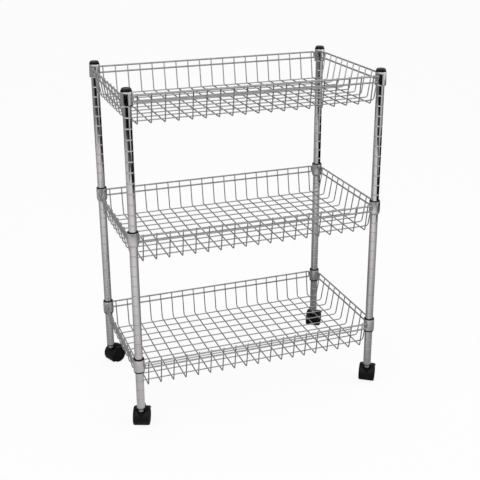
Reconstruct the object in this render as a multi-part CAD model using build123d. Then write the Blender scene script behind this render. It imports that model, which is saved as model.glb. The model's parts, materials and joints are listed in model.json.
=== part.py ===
from build123d import *
import math
import os

# Three-tier wire utility cart on twin-wheel casters, in millimetres.
# Frame: +Z up, +X along the long side, +Y from the front to the back. The origin is on the floor,
# midway between the four posts.

# ---------------------------------------------------------------- posts
POST_SPACING_X = 592.0  # post axis to post axis, along the cart
POST_SPACING_Y = 332.0  # post axis to post axis, front to back
POST_DIAMETER = 19.0
POST_WALL = 1.0
GROOVE_PITCH = 24.0
GROOVE_WIDTH = 1.8
GROOVE_DEPTH = 0.45
TIER_GROOVES = {"bottom": 5, "middle": 18, "top": 31}  # groove that each tier locks in

CAP_HEIGHT = 5.4
CAP_DIAMETER = 22.4
CAP_CHAMFER = 2.3
CAP_DISH = 0.5
CAP_DISH_LAND = 1.2  # flat ring round the dish
CAP_PLUG_LENGTH = 14.0
CAP_PLUG_LEAD = 1.5
CAP_RIB_HEIGHT = 0.35  # ribs of the plug that grip the tube's bore
CAP_RIB_HALF_WIDTH = 1.0
CAP_RIB_DEPTHS = (8.0, 3.0)  # below the tube's upper end

# ---------------------------------------------------------------- collars and split sleeves
SLEEVE_WALL = 1.5
SLEEVE_LIP = 2.0  # flange that shows above the collar
SLEEVE_LIP_OVERHANG = 1.3
SLEEVE_FOOT = 3.6  # ring that shows below the bottom tier's collars
SLEEVE_SPLIT = 0.6  # slit between the two halves
RIDGE_WIDTH = 1.4
RIDGE_PLAY = 0.1
FIT_GAP = 0.05  # radial play of sleeve on post and of collar on sleeve
COLLAR_WALL = 2.0
COLLAR_HEIGHTS = {"bottom": 29.0, "middle": 33.0, "top": 31.0}
COLLAR_ABOVE_GROOVE = 6.6  # groove to the collar's upper edge
COLLAR_TAPER_HEIGHT = 5.5  # swaged lower end of the middle tier's collars
TOP_COLLAR_DRAFT = 0.8  # how much narrower the top tier's collars are at their upper edge
TOP_COLLAR_BANDS = 6  # straight bands that its drafted side is turned in

# ---------------------------------------------------------------- baskets
RIM_WIRE = 4.0
GRID_WIRE = 2.8
RIM_BELOW_COLLAR_TOP = 8.6
RIM_LOOP_HEIGHT = 14.4  # between the two runs of a rim loop, along the wall
RIM_BEND = 3.6  # at the loop's corners
RIM_OUTSET = 10.0  # upper rim run, outward from the line of post axes
BASKET_DEPTH = 64.5  # upper rim run to the crosswise floor wires
WALL_LEAN = 9.3  # degrees from upright, floor inward
WELD_SINK = 0.25
WIRE_TIP = 2.6  # end of a grid wire above the upper rim run
CROSS_WIRE_COUNT = 19
CROSS_PITCH = 30.5
CROSS_BEND = 4.5
LENGTH_WIRE_COUNT = 10
LENGTH_PITCH = 31.7
LENGTH_BEND = 7.0

# ---------------------------------------------------------------- casters
WHEEL_DIAMETER = 40.0
WHEEL_WIDTH = 15.4
WHEEL_SHOULDER = 3.0
WHEEL_DISH_DIAMETER = 29.0
WHEEL_DISH_DEPTH = 1.0
WHEEL_HUB_DIAMETER = 11.0
TRAIL = 14.0  # swivel axis to axle
AXLE_DIAMETER = 6.0
AXLE_END_COVER = 2.5  # wheel material outside the axle's end
AXLE_END_GAP = 0.3
WEB_THICKNESS = 6.0
WHEEL_SIDE_GAP = 0.5
WHEEL_TREAD_GAP = 0.8
BORE_PLAY = 0.05
HOOD_CROWN = 3.0  # thickness of the hood in the middle of its width
HOOD_EDGE = 0.6  # thickness of the hood at its sides
HOOD_EDGE_PROUD = 1.0  # hood's side beyond the wheel's outer face
HOOD_CROWN_WIDTH = 28.0
HOOD_REAR_ANGLE = 30.0  # degrees above level, behind the axle
HOOD_FRONT_ANGLE = 218.0
HOOD_BULGE = 0.25  # share of the crown's drop that is gone two thirds of the way to the side
HOOD_HUB_DIAMETER = 16.0
NOTCH_DEPTH = 1.6
NOTCH_HALF_WIDTH = 12.0
NOTCH_TIP_RISE = 8.0  # tip of the notch above the axle
BOSS_DIAMETER = 13.0
BOSS_RISE = 2.8  # stem boss above the hood's crown over the swivel axis
STEM_SHOWS = 6.4  # bare stem between the washer and the socket
WASHER_DIAMETER = 11.6
WASHER_THICKNESS = 1.8
WASHER_GAP = 0.4
STEM_DIAMETER = 8.0
STEM_CHAMFER = 1.0
STEM_NECK_DIAMETER = 4.4
STEM_NECK_DEPTH = 14.0
SOCKET_FLANGE = 1.8
SOCKET_DEPTH = 30.0
SOCKET_END_WALL = 3.0
STEM_END_GAP = 0.2

# swivel angle of each caster, from +X towards +Y, in the direction it trails
CASTER_ANGLES = {"fl": 69.0, "fr": 56.0, "bl": 24.0, "br": 55.0}

LEVER_WIDTH = 14.0
LEVER_SLOT_BELOW = 14.0  # degrees of the hood's slot either side of the pivot
LEVER_SLOT_ABOVE = 16.0
LEVER_THICKNESS = 2.2
LEVER_GAP = 0.5
LEVER_REACH = 44.0  # degrees of arc that the pedal covers
LEVER_PIVOT_ANGLE = 50.0
LEVER_HUB_DIAMETER = 3.6
LEVER_PIN_DIAMETER = 1.8
LEVER_PIN_GRIP = 3.0
LEVER_LIFT = 22.0  # degrees between pressed and released
PAD_HALF_ANGLE = 3.5
PAD_TREAD_GAP = 0.8
BRAKED_CASTERS = {"fl": True, "bl": False}  # True where the lever stands released

# ---------------------------------------------------------------- worked out
post_r = POST_DIAMETER / 2
post_bore_r = post_r - POST_WALL
sleeve_in_r = post_r + FIT_GAP
sleeve_out_r = sleeve_in_r + SLEEVE_WALL
collar_in_r = sleeve_out_r + FIT_GAP
collar_r = collar_in_r + COLLAR_WALL
rim_r = RIM_WIRE / 2
wire_r = GRID_WIRE / 2
lean = math.radians(WALL_LEAN)
half_x = POST_SPACING_X / 2
half_y = POST_SPACING_Y / 2
CORNERS = {"fl": (-half_x, -half_y), "fr": (half_x, -half_y), "bl": (-half_x, half_y), "br": (half_x, half_y)}

wheel_r = WHEEL_DIAMETER / 2
wheel_in_y = WEB_THICKNESS / 2 + WHEEL_SIDE_GAP
wheel_out_y = wheel_in_y + WHEEL_WIDTH
tread_r = wheel_r + WHEEL_TREAD_GAP
hood_r = tread_r + HOOD_CROWN
hood_half_width = wheel_out_y + HOOD_EDGE_PROUD
boss_top = wheel_r + math.sqrt(hood_r**2 - TRAIL**2) + BOSS_RISE
post_foot = boss_top + WASHER_THICKNESS + STEM_SHOWS + SOCKET_FLANGE
stem_top = post_foot + SOCKET_DEPTH - SOCKET_END_WALL - STEM_END_GAP


def collar_top(tier):
    """Height of the upper edge of a tier's collars above the floor."""
    return post_foot + TIER_GROOVES[tier] * GROOVE_PITCH + COLLAR_ABOVE_GROOVE


post_top = collar_top("top") + SLEEVE_LIP


def around(radius, z_low, z_high):
    """A cylinder about the Z axis between two heights."""
    return Pos(0, 0, z_low) * Cylinder(radius, z_high - z_low, align=(Align.CENTER, Align.CENTER, Align.MIN))


def tube(outer_r, inner_r, z_low, z_high):
    """A plain tube about the Z axis."""
    return around(outer_r, z_low, z_high) - around(inner_r, z_low, z_high)


def turned(outline):
    """A solid turned about the Z axis from (radius, height) points."""
    return revolve(make_face(Polyline(*[(r, 0, z) for r, z in outline], close=True)), Axis.Z)


# ---------------------------------------------------------------- posts, caps, sockets
def make_post():
    """A steel tube with a turned groove at every shelf level."""
    outline = [(post_bore_r, post_foot), (post_r, post_foot)]
    z = post_foot + GROOVE_PITCH
    while z < post_top - GROOVE_WIDTH:
        outline += [
            (post_r, z - GROOVE_WIDTH / 2),
            (post_r - GROOVE_DEPTH, z - GROOVE_WIDTH / 6),
            (post_r - GROOVE_DEPTH, z + GROOVE_WIDTH / 6),
            (post_r, z + GROOVE_WIDTH / 2),
        ]
        z += GROOVE_PITCH
    outline += [(post_r, post_top), (post_bore_r, post_top)]
    return turned(outline)


def make_cap():
    """A plastic cap with a chamfered, slightly dished head and a ribbed plug inside the tube."""
    head_r = CAP_DIAMETER / 2
    plug_r = post_bore_r - CAP_RIB_HEIGHT
    plug_end = post_top - CAP_PLUG_LENGTH
    top = post_top + CAP_HEIGHT
    land_r = head_r - CAP_CHAMFER
    outline = [(0, plug_end), (plug_r - CAP_PLUG_LEAD, plug_end), (plug_r, plug_end + CAP_PLUG_LEAD)]
    for depth in CAP_RIB_DEPTHS:
        rib = post_top - depth
        outline += [(plug_r, rib - CAP_RIB_HALF_WIDTH), (post_bore_r, rib), (plug_r, rib + CAP_RIB_HALF_WIDTH)]
    outline += [(plug_r, post_top), (head_r, post_top), (head_r, top - CAP_CHAMFER), (land_r, top)]
    outline += [(land_r - CAP_DISH_LAND, top), (land_r - CAP_DISH_LAND - CAP_DISH, top - CAP_DISH)]
    outline += [(0, top - CAP_DISH)]
    return turned(outline)


def make_socket():
    """The plastic insert in a post's lower end that holds a caster's stem."""
    foot = post_foot
    bore_r = STEM_DIAMETER / 2 + BORE_PLAY
    body = around(post_bore_r, foot, foot + SOCKET_DEPTH) + around(post_r, foot - SOCKET_FLANGE, foot)
    return body - around(bore_r, foot - SOCKET_FLANGE, foot + SOCKET_DEPTH - SOCKET_END_WALL)


# ---------------------------------------------------------------- collars and sleeves
def make_collar(tier):
    """A corner collar: drafted on the top tier, swaged in at its foot on the middle one, else plain."""
    top = collar_top(tier)
    low = top - COLLAR_HEIGHTS[tier]
    if tier == "bottom":
        return tube(collar_r, collar_in_r, low, top)
    if tier == "top":
        shares = [i / TOP_COLLAR_BANDS for i in range(TOP_COLLAR_BANDS + 1)]
        side = [(collar_r - TOP_COLLAR_DRAFT * t**2, low + (top - low) * t) for t in shares]
        return turned([(collar_in_r, low), *side, (collar_in_r, top)])
    taper_top = low + COLLAR_TAPER_HEIGHT
    end_in_r = post_r + FIT_GAP
    end_out_r = end_in_r + COLLAR_WALL / 2
    return turned(
        [
            (end_in_r, low),
            (end_out_r, low),
            (collar_r, taper_top),
            (collar_r, top),
            (collar_in_r, top),
            (collar_in_r, taper_top),
        ]
    )


def make_sleeve_halves(tier):
    """The two plastic half sleeves inside a collar, whose ridge sits in the post's groove."""
    top = collar_top(tier)
    ridge_z = top - COLLAR_ABOVE_GROOVE
    ridge_r = post_r - GROOVE_DEPTH + RIDGE_PLAY
    lip_r = sleeve_out_r + SLEEVE_LIP_OVERHANG
    foot_top = top - COLLAR_HEIGHTS[tier]
    if tier == "bottom":
        low = foot_top - SLEEVE_FOOT
        foot = [(sleeve_in_r, low), (lip_r, low), (lip_r, foot_top), (sleeve_out_r, foot_top)]
    else:
        low = foot_top + COLLAR_TAPER_HEIGHT + FIT_GAP
        foot = [(sleeve_in_r, low), (sleeve_out_r, low)]
    ring = turned(
        [
            *foot,
            (sleeve_out_r, top),
            (lip_r, top),
            (lip_r, top + SLEEVE_LIP),
            (sleeve_in_r, top + SLEEVE_LIP),
            (sleeve_in_r, ridge_z + RIDGE_WIDTH / 2),
            (ridge_r, ridge_z + RIDGE_WIDTH / 6),
            (ridge_r, ridge_z - RIDGE_WIDTH / 6),
            (sleeve_in_r, ridge_z - RIDGE_WIDTH / 2),
        ]
    )
    middle = (low + top) / 2
    slit = Pos(0, 0, middle) * Box(4 * lip_r, SLEEVE_SPLIT, 2 * COLLAR_HEIGHTS[tier])
    return (ring - slit).solids()


# ---------------------------------------------------------------- basket wires
def bent_rod(points, bend, radius):
    """A round rod along a path of straight runs joined by tangent bends."""
    path = FilletPolyline(*points, radius=bend)
    return sweep(Plane(origin=path @ 0, z_dir=path % 0) * Circle(radius), path=path)


def rim_loop(side_length):
    """One side's rim: a rod bent to a long flat loop in the XZ plane, upper run along Z = 0."""
    end = side_length / 2
    run = end - RIM_BEND
    low = -RIM_LOOP_HEIGHT
    mid_x = run + RIM_BEND * math.sqrt(0.5)
    mid_z = RIM_BEND * (1 - math.sqrt(0.5))
    path = Wire(
        [
            Line((-run, 0, 0), (run, 0, 0)),
            ThreePointArc((run, 0, 0), (mid_x, 0, -mid_z), (end, 0, -RIM_BEND)),
            Line((end, 0, -RIM_BEND), (end, 0, low + RIM_BEND)),
            ThreePointArc((end, 0, low + RIM_BEND), (mid_x, 0, low + mid_z), (run, 0, low)),
            Line((run, 0, low), (-run, 0, low)),
            ThreePointArc((-run, 0, low), (-mid_x, 0, low + mid_z), (-end, 0, low + RIM_BEND)),
            Line((-end, 0, low + RIM_BEND), (-end, 0, -RIM_BEND)),
            ThreePointArc((-end, 0, -RIM_BEND), (-mid_x, 0, -mid_z), (-run, 0, 0)),
        ]
    )
    return sweep(Plane(origin=(0, 0, 0), z_dir=(1, 0, 0)) * Circle(rim_r), path=path)


def make_rims(tier):
    """The four rim loops of a basket, leaning with its walls and welded to the collars at their ends."""
    z = collar_top(tier) - RIM_BELOW_COLLAR_TOP
    mid_outset = RIM_OUTSET - RIM_LOOP_HEIGHT / 2 * math.sin(lean)
    end_gap = math.sqrt(collar_r**2 - mid_outset**2)
    loops = []
    for turn, side, outward in ((0, POST_SPACING_X, half_y), (90, POST_SPACING_Y, half_x)):
        loop = Rot(WALL_LEAN, 0, 0) * rim_loop(side - 2 * (end_gap + rim_r))
        placed = Pos(0, -outward - RIM_OUTSET, z) * loop
        loops += [Rot(0, 0, turn) * placed, Rot(0, 0, turn + 180) * placed]
    return loops


def wall_line(half_side, height_below_rim):
    """Distance from the basket's middle to the centre line of a grid wire on a leaning wall."""
    wire_offset = (rim_r + wire_r - WELD_SINK) / math.cos(lean)
    return half_side + RIM_OUTSET - wire_offset - height_below_rim * math.tan(lean)


def u_wire(half_side, depth, bend):
    """A grid wire in the XZ plane: up one leaning wall, along the floor and up the other wall."""
    top = wall_line(half_side, -WIRE_TIP)
    foot = wall_line(half_side, depth)
    return bent_rod([(-top, 0, WIRE_TIP), (-foot, 0, -depth), (foot, 0, -depth), (top, 0, WIRE_TIP)], bend, wire_r)


def spread(count, pitch):
    """Evenly spaced places either side of zero."""
    return [(i - (count - 1) / 2) * pitch for i in range(count)]


def make_cross_wires(tier):
    """The wires that run front to back, under the lengthwise ones."""
    z = collar_top(tier) - RIM_BELOW_COLLAR_TOP
    wire = Rot(0, 0, 90) * u_wire(half_y, BASKET_DEPTH, CROSS_BEND)
    return [Pos(x, 0, z) * wire for x in spread(CROSS_WIRE_COUNT, CROSS_PITCH)]


def make_length_wires(tier):
    """The wires that run along the cart and rest on the crosswise ones."""
    z = collar_top(tier) - RIM_BELOW_COLLAR_TOP
    wire = u_wire(half_x, BASKET_DEPTH - GRID_WIRE + WELD_SINK, LENGTH_BEND)
    return [Pos(0, y, z) * wire for y in spread(LENGTH_WIRE_COUNT, LENGTH_PITCH)]


# ---------------------------------------------------------------- casters
# Each caster is made with its swivel axis on Z and its axle parallel to Y, trailing towards +X.
axle_place = Pos(TRAIL, 0, wheel_r)


def across(radius, y_low, y_high):
    """A cylinder about the axle between two distances along it."""
    length = y_high - y_low
    return axle_place * Pos(0, y_low + length / 2, 0) * Rot(90, 0, 0) * Cylinder(radius, length)


def polar(radius, angle):
    """A point (x, z) at a distance and an angle about the axle, 0 behind it and 90 above it."""
    a = math.radians(angle)
    return TRAIL + radius * math.cos(a), wheel_r + radius * math.sin(a)


def sector(start, end, inner_r, outer_r, half_width):
    """A ring segment about the axle, between two angles."""
    steps = [start + (end - start) * i / 2 for i in range(3)]
    inner = [(x, 0, z) for x, z in (polar(inner_r, a) for a in steps)]
    outer = [(x, 0, z) for x, z in (polar(outer_r, a) for a in steps)]
    ends = [Line(inner[0], outer[0]), Line(outer[2], inner[2])]
    arcs = [ThreePointArc(*outer), ThreePointArc(*inner)]
    return extrude(make_face(Wire(ends + arcs)), half_width, dir=(0, 1, 0), both=True)


def make_wheel(side):
    """A moulded wheel with a rounded tread, a dished outer face and a blind bore."""
    out_w = WHEEL_WIDTH
    dish_r = WHEEL_DISH_DIAMETER / 2
    hub_r = WHEEL_HUB_DIAMETER / 2
    bore_r = AXLE_DIAMETER / 2 + BORE_PLAY
    bore_end = out_w - AXLE_END_COVER + AXLE_END_GAP
    disc = around(wheel_r, 0, out_w)
    disc = fillet(disc.edges().filter_by(GeomType.CIRCLE), WHEEL_SHOULDER)
    disc -= around(dish_r, out_w - WHEEL_DISH_DEPTH, out_w) - around(hub_r, 0, out_w)
    disc -= around(bore_r, 0, bore_end)
    return axle_place * Pos(0, side * wheel_in_y, 0) * Rot(-90 * side, 0, 0) * disc


def make_axle():
    """The steel axle, pressed through the hood's web."""
    end = wheel_out_y - AXLE_END_COVER
    return across(AXLE_DIAMETER / 2, -end, end)


def lever_pivot():
    """The brake lever's pivot (x, z), in the middle of the hood's shell."""
    return polar((tread_r + hood_r) / 2, LEVER_PIVOT_ANGLE)


def make_hood(braked):
    """The hood: a crowned mudguard over both wheels, with the web between them and the stem boss."""
    crown = HOOD_CROWN_WIDTH / 2
    edge_r = tread_r + HOOD_EDGE
    mid_y = (crown + 2 * hood_half_width) / 3
    mid_r = hood_r - (hood_r - edge_r) * HOOD_BULGE
    half = [
        Line((0, 0, 0), (0, 0, hood_r)),
        Line((0, 0, hood_r), (0, crown, hood_r)),
        ThreePointArc((0, crown, hood_r), (0, mid_y, mid_r), (0, hood_half_width, edge_r)),
        Line((0, hood_half_width, edge_r), (0, hood_half_width, 0)),
        Line((0, hood_half_width, 0), (0, 0, 0)),
    ]
    barrel = revolve(make_face(Wire(half)), Axis.Y)
    barrel = axle_place * (barrel + mirror(barrel, Plane.XZ))
    cover = sector(HOOD_REAR_ANGLE, HOOD_FRONT_ANGLE, AXLE_DIAMETER / 2, 2 * hood_r, 2 * hood_half_width)
    hood = barrel & cover
    half_web = WEB_THICKNESS / 2
    for side in (-1, 1):
        far = 2 * hood_half_width
        hood -= across(tread_r, min(side * half_web, side * far), max(side * half_web, side * far))
    # V-shaped hollow in the crown, round the stem, no deeper than the notch allows
    notch_top = 2 * hood_r
    notch_tip = wheel_r + NOTCH_TIP_RISE
    slope = NOTCH_HALF_WIDTH / (wheel_r + hood_r - notch_tip)
    reach = (notch_top - notch_tip) * slope
    corners = [(-hood_r, 0, notch_tip), (-hood_r, reach, notch_top), (-hood_r, -reach, notch_top)]
    vee = make_face(Polyline(*corners, close=True))
    vee = extrude(vee, hood_r + TRAIL / 2, dir=(1, 0, 0))
    hood -= vee - across(hood_r - NOTCH_DEPTH, -hood_half_width, hood_half_width)
    boss = around(BOSS_DIAMETER / 2, wheel_r, boss_top) - across(tread_r, -hood_half_width, hood_half_width)
    hood += boss
    hood -= around(WASHER_DIAMETER / 2 + WASHER_GAP, boss_top, 2 * hood_r)
    hood += across(HOOD_HUB_DIAMETER / 2, -half_web, half_web)
    hood -= across(AXLE_DIAMETER / 2, -hood_half_width, hood_half_width)
    hood -= around(STEM_NECK_DIAMETER / 2, boss_top - STEM_NECK_DEPTH, boss_top)
    if braked:
        slot_half = LEVER_WIDTH / 2 + LEVER_GAP
        slot_low, slot_high = LEVER_PIVOT_ANGLE - LEVER_SLOT_BELOW, LEVER_PIVOT_ANGLE + LEVER_SLOT_ABOVE
        hood -= sector(slot_low, slot_high, wheel_r, 2 * hood_r, slot_half)
        x, z = lever_pivot()
        pin_half = slot_half + LEVER_PIN_GRIP
        hood -= Pos(x, 0, z) * Rot(90, 0, 0) * Cylinder(LEVER_PIN_DIAMETER / 2, 2 * pin_half)
    return hood


def make_stem():
    """The steel stem: a plain pin in the socket and a thinner neck pressed into the hood's web."""
    foot = boss_top + WASHER_THICKNESS
    neck_r = STEM_NECK_DIAMETER / 2
    stem_r = STEM_DIAMETER / 2
    return turned(
        [
            (0, boss_top - STEM_NECK_DEPTH),
            (neck_r, boss_top - STEM_NECK_DEPTH),
            (neck_r, foot),
            (stem_r, foot),
            (stem_r, stem_top - STEM_CHAMFER),
            (stem_r - STEM_CHAMFER, stem_top),
            (0, stem_top),
        ]
    )


def make_washer():
    """The bright washer between the stem's shoulder and the hood's boss."""
    return tube(WASHER_DIAMETER / 2, STEM_NECK_DIAMETER / 2, boss_top, boss_top + WASHER_THICKNESS)


def make_lever(released):
    """The brake lever: a curved pedal over the hood's crown, a hub on its pin and a pad at the treads."""
    x, z = lever_pivot()
    inner = hood_r + LEVER_GAP
    half = LEVER_WIDTH / 2
    pedal = sector(LEVER_PIVOT_ANGLE, LEVER_PIVOT_ANGLE + LEVER_REACH, inner, inner + LEVER_THICKNESS, half)
    pad_r = wheel_r + PAD_TREAD_GAP
    low, high = LEVER_PIVOT_ANGLE - PAD_HALF_ANGLE, LEVER_PIVOT_ANGLE + PAD_HALF_ANGLE
    arm = sector(low, high, pad_r, inner + LEVER_THICKNESS, half)
    hub = Pos(x, 0, z) * Rot(90, 0, 0) * Cylinder(LEVER_HUB_DIAMETER / 2, LEVER_WIDTH)
    lever = pedal + arm + hub
    lever -= Pos(x, 0, z) * Rot(90, 0, 0) * Cylinder(LEVER_PIN_DIAMETER / 2 + BORE_PLAY, 2 * LEVER_WIDTH)
    if released:
        lever = Pos(x, 0, z) * Rot(0, LEVER_LIFT, 0) * Pos(-x, 0, -z) * lever
    return lever


def make_lever_pin():
    """The steel pin that the brake lever turns on, pressed into the hood at both ends."""
    x, z = lever_pivot()
    length = LEVER_WIDTH + 2 * (LEVER_GAP + LEVER_PIN_GRIP)
    return Pos(x, 0, z) * Rot(90, 0, 0) * Cylinder(LEVER_PIN_DIAMETER / 2, length)


# ---------------------------------------------------------------- assembly
def build():
    """Every node of the cart, by name."""
    nodes = {}
    post, cap, socket = make_post(), make_cap(), make_socket()
    for corner, (x, y) in CORNERS.items():
        nodes[f"post_{corner}"] = Pos(x, y, 0) * post
        nodes[f"post_cap_{corner}"] = Pos(x, y, 0) * cap
        nodes[f"stem_socket_{corner}"] = Pos(x, y, 0) * socket
    for tier in TIER_GROOVES:
        collar = make_collar(tier)
        halves = make_sleeve_halves(tier)
        places = [Pos(x, y, 0) for x, y in CORNERS.values()]
        nodes[f"{tier}_basket_collars"] = Compound([p * collar for p in places])
        nodes[f"{tier}_split_sleeves"] = Compound([p * h for p in places for h in halves])
        nodes[f"{tier}_basket_rims"] = Compound(make_rims(tier))
        nodes[f"{tier}_basket_cross_wires"] = Compound(make_cross_wires(tier))
        nodes[f"{tier}_basket_length_wires"] = Compound(make_length_wires(tier))
    shared = {
        "stem": make_stem(),
        "washer": make_washer(),
        "axle": make_axle(),
        "left_wheel": make_wheel(1),
        "right_wheel": make_wheel(-1),
    }
    for corner, (x, y) in CORNERS.items():
        pieces = dict(shared)
        braked = corner in BRAKED_CASTERS
        pieces["hood"] = make_hood(braked)
        if braked:
            pieces["brake_lever"] = make_lever(BRAKED_CASTERS[corner])
            pieces["brake_pin"] = make_lever_pin()
        place = Pos(x, y, 0) * Rot(0, 0, CASTER_ANGLES[corner])
        for name, piece in pieces.items():
            nodes[f"caster_{corner}_{name}"] = place * piece
    return nodes


os.makedirs("parts", exist_ok=True)
for node_name, shape in build().items():
    export_step(shape, f"parts/{node_name}.step")
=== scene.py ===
"""Dresses a three-tier wire cart: chrome posts, welded wire baskets, black fittings and twin-wheel casters.

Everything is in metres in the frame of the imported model: +Z up, +X along the cart, +Y from front to back,
with the floor at Z = 0.
"""
from __future__ import annotations

import json
import logging
import math
from dataclasses import dataclass
from enum import Enum
from typing import Iterable, Mapping, Sequence, Union

import bmesh
import bpy
from mathutils import Matrix, Vector

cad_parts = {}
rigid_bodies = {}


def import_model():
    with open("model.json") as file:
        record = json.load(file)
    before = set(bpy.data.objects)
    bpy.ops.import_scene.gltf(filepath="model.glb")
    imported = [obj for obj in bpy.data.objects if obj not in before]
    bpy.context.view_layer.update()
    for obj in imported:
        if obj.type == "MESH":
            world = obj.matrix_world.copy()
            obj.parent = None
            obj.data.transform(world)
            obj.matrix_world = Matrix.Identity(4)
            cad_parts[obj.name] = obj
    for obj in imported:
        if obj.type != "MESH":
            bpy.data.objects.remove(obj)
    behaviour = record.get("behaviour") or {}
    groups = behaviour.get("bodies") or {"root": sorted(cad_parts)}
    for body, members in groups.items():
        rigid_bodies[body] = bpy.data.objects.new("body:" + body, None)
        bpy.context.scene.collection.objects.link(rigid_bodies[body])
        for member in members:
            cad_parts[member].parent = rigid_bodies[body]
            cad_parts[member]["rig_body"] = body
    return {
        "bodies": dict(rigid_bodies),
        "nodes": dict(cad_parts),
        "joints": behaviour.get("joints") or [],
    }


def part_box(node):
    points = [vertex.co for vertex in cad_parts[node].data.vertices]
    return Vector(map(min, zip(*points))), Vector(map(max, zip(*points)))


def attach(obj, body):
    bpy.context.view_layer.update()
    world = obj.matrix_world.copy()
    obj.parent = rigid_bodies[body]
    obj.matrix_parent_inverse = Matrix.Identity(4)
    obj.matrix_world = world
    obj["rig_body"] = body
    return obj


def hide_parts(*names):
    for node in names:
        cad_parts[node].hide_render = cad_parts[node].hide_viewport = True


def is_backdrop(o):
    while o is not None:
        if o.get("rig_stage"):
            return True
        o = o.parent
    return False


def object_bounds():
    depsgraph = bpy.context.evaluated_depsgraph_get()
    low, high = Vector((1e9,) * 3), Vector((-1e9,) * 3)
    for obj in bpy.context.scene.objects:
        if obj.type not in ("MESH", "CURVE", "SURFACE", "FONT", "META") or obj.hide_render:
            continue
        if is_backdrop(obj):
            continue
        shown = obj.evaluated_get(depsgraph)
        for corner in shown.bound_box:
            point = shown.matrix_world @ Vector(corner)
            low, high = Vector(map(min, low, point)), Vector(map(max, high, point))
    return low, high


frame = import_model()

LOG = logging.getLogger("cart")
MM = 0.001
TINY = 1e-7
GROOVE_PITCH = 24 * MM

Pair = tuple[float, float]
Triple = tuple[float, float, float]
Stops = tuple[Pair, ...]


class Tier(Enum):
    """The three baskets, by the name that their nodes start with."""

    TOP = "top"
    MIDDLE = "middle"
    BOTTOM = "bottom"


class Corner(Enum):
    """The four corners, by the name that their nodes end with or hold."""

    FRONT_LEFT = "fl"
    FRONT_RIGHT = "fr"
    BACK_LEFT = "bl"
    BACK_RIGHT = "br"


# ---------------------------------------------------------------- shader maths
Term = Union["Signal", float, int, Triple]


class Signal:
    """An output socket that can be used in arithmetic."""

    def __init__(self, graph: "Graph", socket: bpy.types.NodeSocket) -> None:
        """Wraps a socket.

        Args:
            graph: the node tree that the socket belongs to.
            socket: the output socket.
        """
        self.graph = graph
        self.socket = socket

    def __add__(self, other: Term) -> "Signal":
        """Sum."""
        return self.graph.maths("ADD", self, other)

    def __sub__(self, other: Term) -> "Signal":
        """Difference."""
        return self.graph.maths("SUBTRACT", self, other)

    def __rsub__(self, other: Term) -> "Signal":
        """Difference, the other way round."""
        return self.graph.maths("SUBTRACT", other, self)

    def __mul__(self, other: Term) -> "Signal":
        """Product."""
        return self.graph.maths("MULTIPLY", self, other)

    def __truediv__(self, other: Term) -> "Signal":
        """Quotient."""
        return self.graph.maths("DIVIDE", self, other)

    def __rtruediv__(self, other: Term) -> "Signal":
        """Quotient, the other way round."""
        return self.graph.maths("DIVIDE", other, self)

    __radd__ = __add__
    __rmul__ = __mul__


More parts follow.
